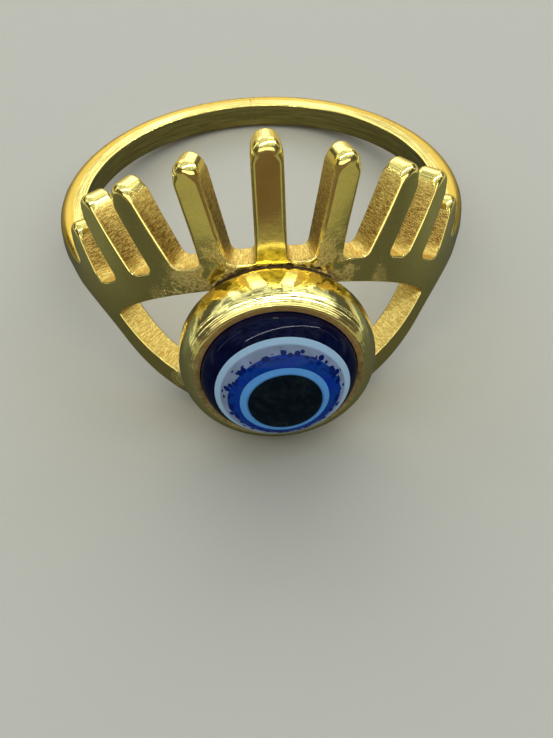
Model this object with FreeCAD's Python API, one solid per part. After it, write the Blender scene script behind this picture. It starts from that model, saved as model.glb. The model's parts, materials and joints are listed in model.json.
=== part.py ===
"""Evil-eye finger ring with lashes: a cut and rolled band, a turned bezel cup and a layered glass eye.

Frame: +Z is the axis of the finger hole, the eye looks along -Y and +X is to the right of someone facing it.
The origin is on the finger axis at the middle of the shank's height. Lengths are in millimetres.

The front of the band is drawn flat, as it would be cut from a strip (x along the strip, y across it, with
the eye's centre at the origin), and every edge of that flat pattern is then wrapped around the finger, so
the cut walls stay square to the strip.
"""
import FreeCAD, Part
import math
import os

from FreeCAD import Base, Vector

# Band
FINGER_DIAMETER = 18.14
WALL = 1.30
SHANK_HEIGHT = 1.30
SHANK_EDGE_RADIUS = 0.45
SHANK_TOP_ROUNDING_STARTS = 60.0
SHANK_UNDERSIDE_ROUNDING_STARTS = 67.0
FRONT_HALF_ANGLE = 70.0

# Eye opening and its two lids, in the flat pattern
EYE_LENGTH = 16.10
UPPER_LID_RISE = 3.22
LOWER_LID_DROP = 3.50
UPPER_LID_WIDTH = 1.25
LOWER_LID_WIDTH = 1.15
UPPER_OUTLINE_RADIUS = 13.80
LOWER_OUTLINE_RADIUS = 11.50
EYE_CORNER_FILLET = 0.20
LID_TO_SHANK_FILLET = 6.00
SLOT_CORNER_FILLET = 0.35

# Lashes: degrees around the finger at the root, degrees of lean outwards, height of the tip above the eye
CENTRE_LASH = (0.0, 0.0, 10.45)
SIDE_LASHES = [
    (13.2, 12.4, 9.30),
    (26.0, 29.5, 7.45),
    (38.4, 36.4, 5.85),
    (52.9, 34.3, 3.50),
]
CENTRE_LASH_WIDTH = 1.40
SIDE_LASH_WIDTH = 1.28

# Bezel cup, turned about a line along Y through the eye's centre
BEZEL_STANDOFF = 0.10
BEZEL_DEPTH = 2.08
BEZEL_BACK_RADIUS = 4.30
BEZEL_WIDEST_RADIUS = 4.44
BEZEL_WIDEST_DEPTH = 0.85
BEZEL_RIM_RADIUS = 3.80
BEZEL_FLOOR = 0.50
RIM_BEVEL = 0.09
WELD_HALF_LENGTH = 1.50
WELD_INSET = 0.10

# Glass eye and the glue under it
STONE_RADIUS = 3.47
STONE_CLEARANCE = 0.03
STONE_DOME = 1.87
GLUE_THICKNESS = 0.45
# colour layers sunk into the dome, each inside the one before: name, radius, thickness at its own edge
LAYERS = [
    ("white_layer", 2.97, 0.34),
    ("royal_blue_layer", 2.44, 0.30),
    ("light_blue_layer", 1.95, 0.26),
    ("black_pupil", 1.63, 0.22),
]

INNER_RADIUS = FINGER_DIAMETER / 2
OUTER_RADIUS = INNER_RADIUS + WALL
EYE_LEVEL = -SHANK_HEIGHT / 2
BEZEL_BACK = OUTER_RADIUS + BEZEL_STANDOFF
BEZEL_FRONT = BEZEL_BACK + BEZEL_DEPTH
STONE_BACK = BEZEL_BACK + BEZEL_FLOOR + GLUE_THICKNESS
CURVE_POINTS = 17
SEWING_TOLERANCE = 1e-5
PLATE = 1.0


# ---- flat pattern of the front ----

def disc(centre_y, radius):
    """A flat round plate centred on the strip's middle line."""
    return Part.makeCylinder(radius, PLATE, Vector(0, centre_y, 0))


def lens(top, bottom, top_radius, bottom_radius):
    """The almond between an arc that peaks at top and an arc that dips to bottom."""
    upper = disc(top - top_radius, top_radius)
    lower = disc(bottom + bottom_radius, bottom_radius)
    return upper.common(lower)


def arc_radius(chord, rise):
    return (chord ** 2 / 4 + rise ** 2) / (2 * rise)


def eye_opening():
    """The almond hole: both lids' inner edges are arcs that meet at the corners of the eye."""
    upper = arc_radius(EYE_LENGTH, UPPER_LID_RISE)
    lower = arc_radius(EYE_LENGTH, LOWER_LID_DROP)
    hole = lens(UPPER_LID_RISE, -LOWER_LID_DROP, upper, lower)
    corners = [e for e in upright_edges(hole) if abs(e.Vertexes[0].X) > EYE_LENGTH / 4]
    return hole.makeFillet(EYE_CORNER_FILLET, corners)


def shank_strip():
    half_length = math.radians(FRONT_HALF_ANGLE) * OUTER_RADIUS
    return Part.makeBox(2 * half_length, SHANK_HEIGHT, PLATE, Vector(-half_length, 0, 0))


def lid_plate():
    """Both lids as one solid plate, flowing into the shank at each end."""
    top = UPPER_LID_RISE + UPPER_LID_WIDTH
    bottom = -LOWER_LID_DROP - LOWER_LID_WIDTH
    plate = lens(top, bottom, UPPER_OUTLINE_RADIUS, LOWER_OUTLINE_RADIUS)
    plate = plate.fuse(shank_strip()).removeSplitter()
    arc_centre = Vector(0, bottom + LOWER_OUTLINE_RADIUS, 0)
    lower_corners = [e for e in upright_edges(plate) if on_arc(e, arc_centre, LOWER_OUTLINE_RADIUS)]
    return plate.makeFillet(LID_TO_SHANK_FILLET, [e for e in lower_corners if abs(foot(e).y) < 0.01])


def lid_top_at(x):
    """Height of the upper lid's outer edge in the flat pattern."""
    centre = UPPER_LID_RISE + UPPER_LID_WIDTH - UPPER_OUTLINE_RADIUS
    return centre + math.sqrt(UPPER_OUTLINE_RADIUS ** 2 - x ** 2)


def lash(angle, lean, tip, width, side):
    """A straight bar with a round tip, rooted in the upper lid or the shank and leaning away from the middle."""
    root_x = math.radians(angle) * OUTER_RADIUS
    root_y = max(lid_top_at(root_x) - UPPER_LID_WIDTH / 2, SHANK_HEIGHT / 2)
    reach = (tip - width / 2 - root_y) / math.cos(math.radians(lean))
    bar = Part.makeBox(width, reach, PLATE, Vector(-width / 2, 0, 0))
    bar = bar.fuse(Part.makeCylinder(width / 2, PLATE, Vector(0, reach, 0)))
    bar.rotate(Vector(0, 0, 0), Vector(0, 0, 1), -side * lean)
    bar.translate(Vector(side * root_x, root_y, 0))
    return bar


def foot(edge):
    return edge.Vertexes[0].Point


def is_upright(edge):
    return len(edge.Vertexes) == 2 and abs(edge.tangentAt(edge.FirstParameter).z) > 0.999


def upright_edges(plate):
    """The straight edges that run through the plate's thickness."""
    return [edge for edge in plate.Edges if is_upright(edge)]


def on_arc(edge, centre, radius):
    corner = foot(edge)
    return abs(math.hypot(corner.x - centre.x, corner.y - centre.y) - radius) < 0.01


def flat_front():
    """The whole front as a flat plate, still without its eye opening: lids and lashes, with rounded slot corners."""
    lashes = [lash(*CENTRE_LASH, CENTRE_LASH_WIDTH, 1)]
    for row in SIDE_LASHES:
        lashes += [lash(*row, SIDE_LASH_WIDTH, side) for side in (-1, 1)]
    plate = lid_plate().fuse(lashes).removeSplitter()
    arc_centre = Vector(0, UPPER_LID_RISE + UPPER_LID_WIDTH - UPPER_OUTLINE_RADIUS, 0)
    slot_corners = [e for e in upright_edges(plate) if on_arc(e, arc_centre, UPPER_OUTLINE_RADIUS)]
    return plate.makeFillet(SLOT_CORNER_FILLET, slot_corners)


# ---- rolling the flat pattern around the finger ----

def rolled_edge(edge, surface):
    """A flat edge laid on a cylinder: distance along the strip turns into an angle."""
    count = 2 if isinstance(edge.Curve, Part.Line) else CURVE_POINTS
    front = 1.5 * math.pi
    points = [Base.Vector2d(front + p.x / OUTER_RADIUS, p.y + EYE_LEVEL) for p in edge.discretize(count)]
    if count == 2:
        return Part.Geom2d.Line2dSegment(*points).toShape(surface)
    curve = Part.Geom2d.BSplineCurve2d()
    curve.interpolate(points)
    return curve.toShape(surface)


def rolled_edges(plate, surface):
    """The outline of a plate's lower face, laid edge by edge on a cylinder."""
    outline = min(plate.Faces, key=lambda face: face.CenterOfMass.z).OuterWire
    return [rolled_edge(edge, surface) for edge in outline.OrderedEdges]


def rolled_plate(plate, hole):
    """A flat plate with one hole, as a solid between the inner and the outer radius of the band."""
    skins = []
    rims = []
    for radius in (INNER_RADIUS, OUTER_RADIUS):
        surface = Part.Cylinder()
        surface.Radius = radius
        outline = rolled_edges(plate, surface)
        opening = rolled_edges(hole, surface)
        rims.append(outline + opening)
        skins.append(Part.Face(Part.Face(surface, Part.Wire(outline)), Part.Wire(opening).reversed()))
    walls = [Part.makeRuledSurface(inner, outer) for inner, outer in zip(*rims)]
    shell = Part.Shell(skins + walls)
    shell.sewShape()
    solid = Part.Solid(shell)
    solid.fix(SEWING_TOLERANCE, SEWING_TOLERANCE, SEWING_TOLERANCE)
    return solid


def ring_sector(outer_radius, inner_radius, half_gap):
    """A ring of the shank's height with a gap at the front, given as degrees to either side."""
    sweep = 360 - 2 * half_gap
    base = Vector(0, 0, EYE_LEVEL)
    up = Vector(0, 0, 1)
    outside = Part.makeCylinder(outer_radius, SHANK_HEIGHT, base, up, sweep)
    sector = outside.cut(Part.makeCylinder(inner_radius, SHANK_HEIGHT, base, up, sweep))
    sector.rotate(Vector(0, 0, 0), up, 270 + half_gap)
    return sector


def edge_cutter(side, half_gap):
    """What comes off the shank's outer edge, above (side 1) or below (side -1), to leave it round."""
    rounding = Part.makeTorus(OUTER_RADIUS - SHANK_EDGE_RADIUS, SHANK_EDGE_RADIUS)
    rounding.translate(Vector(0, 0, side * (SHANK_HEIGHT / 2 - SHANK_EDGE_RADIUS)))
    corner = ring_sector(OUTER_RADIUS + WALL, OUTER_RADIUS - SHANK_EDGE_RADIUS, half_gap)
    corner.translate(Vector(0, 0, side * (SHANK_HEIGHT - SHANK_EDGE_RADIUS)))
    return corner.cut(rounding)


def band():
    """Shank, lids and lashes in one piece. The seam where front and shank meet stays as an edge."""
    shank = ring_sector(OUTER_RADIUS, INNER_RADIUS, FRONT_HALF_ANGLE)
    top_edge = edge_cutter(1, SHANK_TOP_ROUNDING_STARTS)
    underside_edge = edge_cutter(-1, SHANK_UNDERSIDE_ROUNDING_STARTS)
    return rolled_plate(flat_front(), eye_opening()).fuse(shank).cut([top_edge, underside_edge])


# ---- bezel cup, welds, glue and glass ----

def turned(profile):
    """A solid of revolution about the eye's line of sight, from a closed profile drawn with at()."""
    blank = Part.Face(Part.Wire(Part.__sortEdges__(profile)))
    return blank.revolve(Vector(0, 0, 0), Vector(0, 1, 0), 360).translated(Vector(0, 0, EYE_LEVEL))


def at(radius, distance):
    """A profile point: radius from the line of sight, distance from the finger axis."""
    return Vector(radius, -distance, 0)


def polyline(*points):
    return [Part.LineSegment(a, b).toShape() for a, b in zip(points, points[1:])]


def quarter_ellipse(distance, radius, bulge, rise):
    """The rounded edge from (radius + bulge) at distance to radius at (distance + rise)."""
    side = at(radius + bulge, distance)
    end = at(radius, distance + rise)
    long_end, short_end = (side, end) if bulge > abs(rise) else (end, side)
    ellipse = Part.Ellipse(long_end, short_end, at(radius, distance))
    return Part.ArcOfEllipse(ellipse, 0, math.pi / 2).toShape()


def bezel_cup():
    """A shallow cup with a thick rounded wall, a flat floor and a bevelled mouth round the glass."""
    pocket = STONE_RADIUS + STONE_CLEARANCE
    widest = BEZEL_BACK + BEZEL_WIDEST_DEPTH
    back_bulge = BEZEL_WIDEST_RADIUS - BEZEL_BACK_RADIUS
    front_bulge = BEZEL_WIDEST_RADIUS - BEZEL_RIM_RADIUS
    wall = [
        quarter_ellipse(widest, BEZEL_BACK_RADIUS, back_bulge, BEZEL_BACK - widest),
        quarter_ellipse(widest, BEZEL_RIM_RADIUS, front_bulge, BEZEL_FRONT - widest),
    ]
    inside = polyline(
        at(BEZEL_RIM_RADIUS, BEZEL_FRONT),
        at(pocket, BEZEL_FRONT - RIM_BEVEL),
        at(pocket, BEZEL_BACK + BEZEL_FLOOR),
        at(0, BEZEL_BACK + BEZEL_FLOOR),
        at(0, BEZEL_BACK),
        at(BEZEL_BACK_RADIUS, BEZEL_BACK),
    )
    return turned(wall + inside)


def weld(low, high):
    """A weld that fills the narrow gap between the flat back of the cup and the rounded front of one lid."""
    height = high - low
    corner = Vector(-WELD_HALF_LENGTH, -BEZEL_BACK, EYE_LEVEL + low)
    block = Part.makeBox(2 * WELD_HALF_LENGTH, WALL, height, corner)
    cup_back = Vector(0, -BEZEL_BACK, EYE_LEVEL)
    cup_edge = Part.makeCylinder(BEZEL_BACK_RADIUS, WALL, cup_back, Vector(0, 1, 0))
    finger = Part.makeCylinder(OUTER_RADIUS, 2 * height, Vector(0, 0, corner.z - height / 2))
    return block.common(cup_edge).cut(finger)


def glue_bed():
    radius = STONE_RADIUS - STONE_CLEARANCE
    back = BEZEL_BACK + BEZEL_FLOOR
    return turned(polyline(at(0, back), at(radius, back), at(radius, STONE_BACK), at(0, STONE_BACK), at(0, back)))


def dome_distance(radius):
    """How far from the finger axis the dome's surface is, at a radius from the line of sight."""
    return BEZEL_FRONT + STONE_DOME * math.sqrt(1 - (radius / STONE_RADIUS) ** 2)


def dome_arc(outer_radius, inner_radius):
    """The dome's profile between two radii."""
    ellipse = Part.Ellipse(at(STONE_RADIUS, BEZEL_FRONT), at(0, BEZEL_FRONT + STONE_DOME), at(0, BEZEL_FRONT))
    start, end = (math.acos(radius / STONE_RADIUS) for radius in (outer_radius, inner_radius))
    return Part.ArcOfEllipse(ellipse, start, end).toShape()


def glass_layer(radius, back, core_radius, core_back):
    """One colour of the glass: a disc with a domed front, hollowed where the next colour sits in it."""
    side = polyline(at(0, core_back), at(0, back), at(radius, back), at(radius, dome_distance(radius)))
    hollow = polyline(at(core_radius, dome_distance(core_radius)), at(core_radius, core_back), at(0, core_back))
    return turned(side + [dome_arc(radius, core_radius)] + hollow)


def pupil(radius, back):
    """The innermost colour, a plain disc whose domed front is a shallow ball cap."""
    apex = dome_distance(0)
    ball_radius = arc_radius(2 * radius, apex - dome_distance(radius))
    disc_back = Vector(0, -back, EYE_LEVEL)
    blank = Part.makeCylinder(radius, apex - back, disc_back, Vector(0, -1, 0))
    return blank.common(Part.makeSphere(ball_radius, Vector(0, ball_radius - apex, EYE_LEVEL)))


def glass_parts():
    """Every colour of the eye, from the navy body inwards, by name."""
    rows = [("navy_glass_body", STONE_RADIUS, STONE_BACK)]
    rows += [(name, radius, dome_distance(radius) - thickness) for name, radius, thickness in LAYERS]
    parts = {name: glass_layer(radius, back, *core[1:]) for (name, radius, back), core in zip(rows, rows[1:])}
    name, radius, back = rows[-1]
    parts[name] = pupil(radius, back)
    return parts


def assembly():
    upper = (UPPER_LID_RISE + WELD_INSET, UPPER_LID_RISE + UPPER_LID_WIDTH - WELD_INSET)
    lower = (-LOWER_LID_DROP - LOWER_LID_WIDTH + WELD_INSET, -LOWER_LID_DROP - WELD_INSET)
    return {
        "band": band(),
        "bezel_cup": bezel_cup(),
        "upper_weld": weld(*upper),
        "lower_weld": weld(*lower),
        "glue_bed": glue_bed(),
        **glass_parts(),
    }


def main():
    os.makedirs("parts", exist_ok=True)
    for name, shape in assembly().items():
        shape.exportStep(f"parts/{name}.step")


if __name__ == "__main__":
    main()
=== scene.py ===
"""The looks of the evil-eye ring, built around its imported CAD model.

Lengths are in millimetres until a mesh is made, which turns them into metres. The band is drawn as the flat
strip it is cut from (x along the strip, y above the eye's centre, depth below the outer face) and is then
rolled around the finger. Angles round the finger are in degrees from the eye's centre.
"""

import json
import math

import bmesh
import bpy
import numpy as np
from mathutils import Matrix, Vector
from mathutils.geometry import delaunay_2d_cdt


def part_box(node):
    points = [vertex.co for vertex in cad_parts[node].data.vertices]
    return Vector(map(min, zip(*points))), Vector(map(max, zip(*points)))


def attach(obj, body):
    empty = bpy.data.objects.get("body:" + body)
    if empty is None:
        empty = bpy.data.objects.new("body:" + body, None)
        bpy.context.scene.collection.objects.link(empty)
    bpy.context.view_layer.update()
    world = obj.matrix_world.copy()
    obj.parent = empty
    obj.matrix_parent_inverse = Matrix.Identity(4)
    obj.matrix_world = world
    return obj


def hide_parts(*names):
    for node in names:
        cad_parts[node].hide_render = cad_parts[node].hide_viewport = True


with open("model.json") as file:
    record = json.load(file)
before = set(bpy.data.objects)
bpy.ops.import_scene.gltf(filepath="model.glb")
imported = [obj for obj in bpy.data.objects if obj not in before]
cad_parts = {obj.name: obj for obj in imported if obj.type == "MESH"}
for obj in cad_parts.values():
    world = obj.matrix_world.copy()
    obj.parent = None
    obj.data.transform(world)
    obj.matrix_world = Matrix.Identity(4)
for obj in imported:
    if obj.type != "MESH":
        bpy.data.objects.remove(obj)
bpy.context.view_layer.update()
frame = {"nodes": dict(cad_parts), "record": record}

MM = 0.001
UP = Vector((0, 0, 1))


def node_box(name):
    """Lowest and highest corner of a CAD node in millimetres."""
    low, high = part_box(name)
    return np.array(low) / MM, np.array(high) / MM


def node_radius(name):
    """Radius of a node that is turned about the eye's line of sight."""
    low, high = node_box(name)
    return float(high[2] - low[2]) / 2


# Places and sizes read from the frame
BAND_LOW, BAND_HIGH = node_box("band")
CUP_LOW, CUP_HIGH = node_box("bezel_cup")
OUTER = BAND_HIGH[0]
INNER = frame["record"]["mounts"][0]["dims"]["r_mm"]
WALL = OUTER - INNER
EYE_Z = float(CUP_LOW[2] + CUP_HIGH[2]) / 2
SHANK_HEIGHT = -2 * EYE_Z
HALF_TURN = math.pi * OUTER
CUP_BACK = -float(CUP_HIGH[1])
CUP_FRONT = -float(CUP_LOW[1])
CUP_RADIUS = node_radius("bezel_cup")
STONE_RADIUS = node_radius("navy_glass_body")
STONE_APEX = -float(node_box("black_pupil")[0][1])

# Flat pattern of the band
LID_TOP = 4.47
LID_TOP_RADIUS = 13.80
LID_BOTTOM = BAND_LOW[2] - EYE_Z
LID_BOTTOM_RADIUS = 11.50
EYE_LENGTH = 16.10
EYE_TOP = 3.22
EYE_BOTTOM = -3.50
EYE_CORNER = 0.20
SHANK_BLEND = 6.00
SLOT_CORNER = 0.35
LASH_ROOT_DEPTH = 0.62
# angle of the root round the finger, degrees of lean, height of the tip
CENTRE_LASH = (0.0, 0.0, BAND_HIGH[2] - EYE_Z)
SIDE_LASHES = [(13.2, 12.4, 9.30), (26.0, 29.5, 7.45), (38.4, 36.4, 5.85), (52.9, 34.3, 3.50)]
CENTRE_LASH_WIDTH = 1.40
SIDE_LASH_WIDTH = 1.28

# Radii of the band's edges, and how much is added along a lash, on the middle lashes, at the tips and on
# the shank
OUTER_EDGE = 0.09
INNER_EDGE = 0.08
ALONG_LASH = 0.02
ALONG_MIDDLE_LASH = 0.11
AT_TIP = 0.26
AT_INNER_TIP = 0.22
ON_SHANK = 0.36
# Where those changes happen: degrees round the finger, height above the lid, distance past a tip's centre
MIDDLE_LASHES_END = (14, 32)
SHANK_STARTS = (61, 69)
LASH_STARTS = (0.2, 2.0)
TIP_STARTS = (-0.35, 0.15)

# Mesh fineness
OUTLINE_STEP = 0.08
CONTOUR_GRID = 0.10
FACE_GRID = 0.30
FACE_MARGIN = 0.12
EDGE_ROWS = 6
WALL_ROWS = 7
CUP_SEGMENTS = 256
GLASS_SEGMENTS = 192
GLASS_ROWS = 28
WELD_DISTANCE = 5e-7
CRISP_ANGLE = math.radians(40)


# ---- flat pattern as signed distances: negative inside the metal ----

def arc_radius(chord, rise):
    """Radius of the arc over a chord."""
    return (chord ** 2 / 4 + rise ** 2) / (2 * rise)


def round_union(a, b, radius):
    """Two shapes joined with a fillet in the corners between them."""
    corner = np.hypot(np.maximum(radius - a, 0), np.maximum(radius - b, 0))
    return np.maximum(radius, np.minimum(a, b)) - corner


def round_common(a, b, radius):
    """What two shapes share, with its corners rounded."""
    corner = np.hypot(np.maximum(radius + a, 0), np.maximum(radius + b, 0))
    return np.minimum(-radius, np.maximum(a, b)) + corner


def disc(x, y, centre_y, radius):
    """A round disc on the middle line."""
    return np.hypot(x, y - centre_y) - radius


def eye_opening(x, y):
    """The almond hole between the lids."""
    top_radius = arc_radius(EYE_LENGTH, EYE_TOP)
    bottom_radius = arc_radius(EYE_LENGTH, -EYE_BOTTOM)
    under_top = disc(x, y, EYE_TOP - top_radius, top_radius)
    over_bottom = disc(x, y, EYE_BOTTOM + bottom_radius, bottom_radius)
    return round_common(under_top, over_bottom, EYE_CORNER)


def lower_outline(x):
    """Height of the band's lower outline: the lower lid's arc, a blend arc, then the straight shank."""
    arc_centre = LID_BOTTOM + LID_BOTTOM_RADIUS
    blend_x = math.sqrt((LID_BOTTOM_RADIUS + SHANK_BLEND) ** 2 - (arc_centre + SHANK_BLEND) ** 2)
    touch_x = blend_x * LID_BOTTOM_RADIUS / (LID_BOTTOM_RADIUS + SHANK_BLEND)
    across = np.abs(x)
    lid = arc_centre - np.sqrt(np.maximum(LID_BOTTOM_RADIUS ** 2 - across ** 2, 0))
    blend = -SHANK_BLEND + np.sqrt(np.maximum(SHANK_BLEND ** 2 - (across - blend_x) ** 2, 0))
    return np.where(across < touch_x, lid, np.where(across < blend_x, blend, 0.0))


def lids_and_shank(x, y):
    """The straight strip with the upper lid's arc above it and the lower lid's outline below."""
    strip = np.abs(y - SHANK_HEIGHT / 2) - SHANK_HEIGHT / 2
    upper_lid = np.maximum(disc(x, y, LID_TOP - LID_TOP_RADIUS, LID_TOP_RADIUS), -y)
    top = round_union(upper_lid, strip, SLOT_CORNER)
    below = lower_outline(x) - y
    return np.where(y < SHANK_HEIGHT / 2, below, np.maximum(top, below))


def lash(x, y, angle, lean, tip, width):
    """A bar with a round tip that leans away from the middle, and how far a point is past its tip's centre.
    Its x goes towards the lash's own side."""
    root_x = math.radians(angle) * OUTER
    lid = LID_TOP - LID_TOP_RADIUS + math.sqrt(LID_TOP_RADIUS ** 2 - root_x ** 2) - LASH_ROOT_DEPTH
    root_y = max(lid, SHANK_HEIGHT / 2)
    tilt = math.radians(lean)
    reach = (tip - width / 2 - root_y) / math.cos(tilt)
    from_root = (x - root_x) * math.sin(tilt) + (y - root_y) * math.cos(tilt)
    along = np.clip(from_root, 0, reach)
    away = np.hypot(x - root_x - along * math.sin(tilt), y - root_y - along * math.cos(tilt))
    return away - width / 2, from_root - reach


def lashes(x, y):
    """The centre lash, then the four on each side as mirrored pairs."""
    rows = [lash(x, y, *CENTRE_LASH, CENTRE_LASH_WIDTH)]
    return rows + [lash(np.abs(x), y, *row, SIDE_LASH_WIDTH) for row in SIDE_LASHES]


def outside(x, y):
    """The front's outer outline and the shank, with the eye not yet opened."""
    metal = lids_and_shank(x, y)
    for bar, _ in lashes(x, y):
        metal = round_union(metal, bar, SLOT_CORNER)
    return metal


# ---- outlines of the flat pattern ----

def chains(wire):
    """The corners of a wire mesh in order, one array for each separate line or loop."""
    left = set(wire.verts)
    ends = [v for v in wire.verts if len(v.link_edges) == 1]
    found = []
    for start in ends + list(wire.verts):
        if start not in left:
            continue
        line = []
        corner = start
        while corner is not None:
            left.discard(corner)
            line.append(corner.co[:2])
            nearby = [edge.other_vert(corner) for edge in corner.link_edges]
            corner = next((v for v in nearby if v in left), None)
        found.append(np.array(line))
    return found


def contour(field, low, high):
    """The lines along which a field is zero, found by cutting its height map at sea level."""
    columns = round((high[0] - low[0]) / CONTOUR_GRID) + 1
    rows = round((high[1] - low[1]) / CONTOUR_GRID) + 1
    x, y = np.meshgrid(np.linspace(low[0], high[0], columns), np.linspace(low[1], high[1], rows))
    corners = np.stack([x, y, field(x, y)], -1).reshape(-1, 3)
    first = (np.arange(rows - 1)[:, None] * columns + np.arange(columns - 1)).ravel()
    quads = np.stack([first, first + 1, first + columns + 1, first + columns], -1)
    mesh = bpy.data.meshes.new("height_map")
    mesh.from_pydata(corners.tolist(), [], quads.tolist())
    cut = bmesh.new()
    cut.from_mesh(mesh)
    everything = cut.verts[:] + cut.edges[:] + cut.faces[:]
    sea_level = {"plane_co": (0, 0, 0), "plane_no": UP}
    bmesh.ops.bisect_plane(cut, geom=everything, clear_inner=True, clear_outer=True, **sea_level)
    lines = chains(cut)
    cut.free()
    bpy.data.meshes.remove(mesh)
    return lines


def slope(field, points):
    """The direction in which a field grows, at each point."""
    nudge = 1e-4
    x, y = points.T
    across = field(x + nudge, y) - field(x - nudge, y)
    up = field(x, y + nudge) - field(x, y - nudge)
    return np.stack([across, up], -1) / (2 * nudge)


def smoothed(field, line, closed):
    """A rough contour as evenly spaced points exactly on it, the direction away from the metal at each, and
    each one's distance along the contour."""
    if closed:
        line = np.vstack([line, line[:1]])
    elif line[0, 0] > line[-1, 0]:
        line = line[::-1]
    travelled = np.concatenate([[0], np.cumsum(np.hypot(*np.diff(line, axis=0).T))])
    stops = np.linspace(0, travelled[-1], round(travelled[-1] / OUTLINE_STEP) + 1)
    points = np.stack([np.interp(stops, travelled, line[:, axis]) for axis in (0, 1)], -1)
    if closed:
        points, stops = points[:-1], stops[:-1]
    for _ in range(3):
        steepest = slope(field, points)
        away = (steepest ** 2).sum(1, keepdims=True)
        points = points - steepest * field(*points.T)[:, None] / away
    normals = slope(field, points)
    return points, normals / np.linalg.norm(normals, axis=1, keepdims=True), stops


def band_outlines():
    """Top outline, bottom outline and eye opening, each as points, outward directions, distances along it
    and whether it is a closed loop."""
    edges = contour(outside, (-HALF_TURN, LID_BOTTOM - 1), (HALF_TURN, CENTRE_LASH[2] + 1))
    edges.sort(key=lambda line: line[:, 1].max())
    bottom, top = edges
    half = EYE_LENGTH / 2 + 1
    hole, = contour(eye_opening, (-half, EYE_BOTTOM - 1), (half, EYE_TOP + 1))
    opened = [(*smoothed(outside, top, False), False), (*smoothed(outside, bottom, False), False)]
    points, into_metal, stops = smoothed(eye_opening, hole, True)
    return opened + [(points, -into_metal, stops, True)]


# ---- the band as a mesh ----

def ramp_up(value, start, end):
    """0 before start, 1 after end and smooth in between."""
    share = np.clip((value - start) / (end - start), 0, 1)
    return share * share * (3 - 2 * share)


def tip_share(points):
    """1 on the round tip of a lash, 0 on its straight sides and everywhere else."""
    x, y = points.T
    return sum(ramp_up(past, *TIP_STARTS) * (bar < 0.05) for bar, past in lashes(x, y))


def outer_edge(points):
    """Radius of the polished outer edge: crisp at the slots, softer up the middle lashes, softer still at
    the tips and round on the shank."""
    x, y = points.T
    turn = np.degrees(np.abs(x) / OUTER)
    lid = LID_TOP - LID_TOP_RADIUS + np.sqrt(np.maximum(LID_TOP_RADIUS ** 2 - x ** 2, 0))
    height = ramp_up(y - np.maximum(lid, SHANK_HEIGHT), *LASH_STARTS)
    middle = 1 - ramp_up(turn, *MIDDLE_LASHES_END)
    shank = ramp_up(turn, *SHANK_STARTS)
    lashes_only = height * (ALONG_LASH + ALONG_MIDDLE_LASH * middle) + AT_TIP * tip_share(points)
    return OUTER_EDGE + lashes_only * (1 - shank) + ON_SHANK * shank


def inner_edge(points):
    """Radius of the edge on the finger's side."""
    return INNER_EDGE + AT_INNER_TIP * tip_share(points)


def edge_profile(outer, inner):
    """Rows from the outer face round to the inner one: how far in from the outline, how deep, and the
    sideways and outward parts of the surface's direction."""
    rows = []
    quarter = np.linspace(0, math.pi / 2, EDGE_ROWS + 1)
    for sin, cos in zip(np.sin(quarter), np.cos(quarter)):
        rows.append((outer * (1 - sin), outer * (1 - cos), sin, cos))
    for share in np.linspace(0, 1, WALL_ROWS + 1)[1:-1]:
        rows.append((np.zeros_like(outer), outer + (WALL - outer - inner) * share, 1.0, 0.0))
    for sin, cos in zip(np.sin(quarter), np.cos(quarter)):
        rows.append((inner * (1 - cos), WALL - inner * (1 - sin), cos, -sin))
    return rows


class FlatMesh:
    """Corners and faces of the band while it's still flat."""

    def __init__(self):
        self.corners = []
        self.normals = []
        self.cut = []
        self.faces = []
        self.count = 0

    def add(self, points, depth, normals, along, wall, tip):
        """One set of corners, with their distance along the outline, how far they face sideways, and how
        much they belong to a lash tip."""
        size = len(points)
        depth, along, wall, tip = (np.broadcast_to(value, size) for value in (depth, along, wall, tip))
        self.corners.append(np.column_stack([points, depth]))
        self.normals.append(normals)
        self.cut.append(np.column_stack([along, wall, tip]))
        self.count += size
        return np.arange(self.count - size, self.count)

    def bridge(self, row, next_row, closed):
        """Faces between two rows of corners."""
        pairs = list(zip(range(len(row) - 1), range(1, len(row))))
        if closed:
            pairs.append((len(row) - 1, 0))
        self.faces += [(int(row[a]), int(row[b]), int(next_row[b]), int(next_row[a])) for a, b in pairs]


def add_edges(flat, outlines):
    """The rounded edges and the cut wall along every outline."""
    for points, away, stops, closed in outlines:
        last = None
        tips = tip_share(points)
        for inset, depth, sideways, outward in edge_profile(outer_edge(points), inner_edge(points)):
            normals = np.column_stack([away * sideways, np.full(len(points), outward)])
            row = flat.add(points - away * inset[:, None], depth, normals, stops, sideways, tips)
            if last is not None:
                flat.bridge(last, row, closed)
            last = row


def inside_points(margin):
    """A grid of points in the metal, clear of every rounded edge by a margin."""
    columns = round(2 * HALF_TURN / FACE_GRID)
    x = np.linspace(-HALF_TURN, HALF_TURN, columns + 1)[1:-1]
    y = np.arange(LID_BOTTOM, CENTRE_LASH[2], FACE_GRID)
    x, y = (grid.ravel() for grid in np.meshgrid(x, y))
    clear = margin + outer_edge(np.stack([x, y], -1))
    keep = (outside(x, y) < -clear) & (eye_opening(x, y) > clear)
    return np.stack([x[keep], y[keep]], -1)


def add_face(flat, outlines, edge_radius, depth, outward):
    """The outer or the inner face of the band, as triangles between the inset outlines."""
    inset = [points - away * edge_radius(points)[:, None] for points, away, _, _ in outlines]
    top, bottom, eye = inset
    border = np.vstack([bottom, top[::-1]])
    points = np.vstack([border, eye, inside_points(FACE_MARGIN)])
    loops = [list(range(len(border))), list(range(len(border), len(border) + len(eye)))]
    result = delaunay_2d_cdt([Vector(p) for p in points], [], loops, 1, 1e-7)
    corners = np.array([v[:] for v in result[0]])
    rows = flat.add(corners, depth, np.tile([0, 0, outward], (len(corners), 1)), 0, 0, 0)
    for triangle, inside_of in zip(result[2], result[5]):
        if list(inside_of) == [0]:
            flat.faces.append(tuple(int(rows[i]) for i in triangle))


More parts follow.
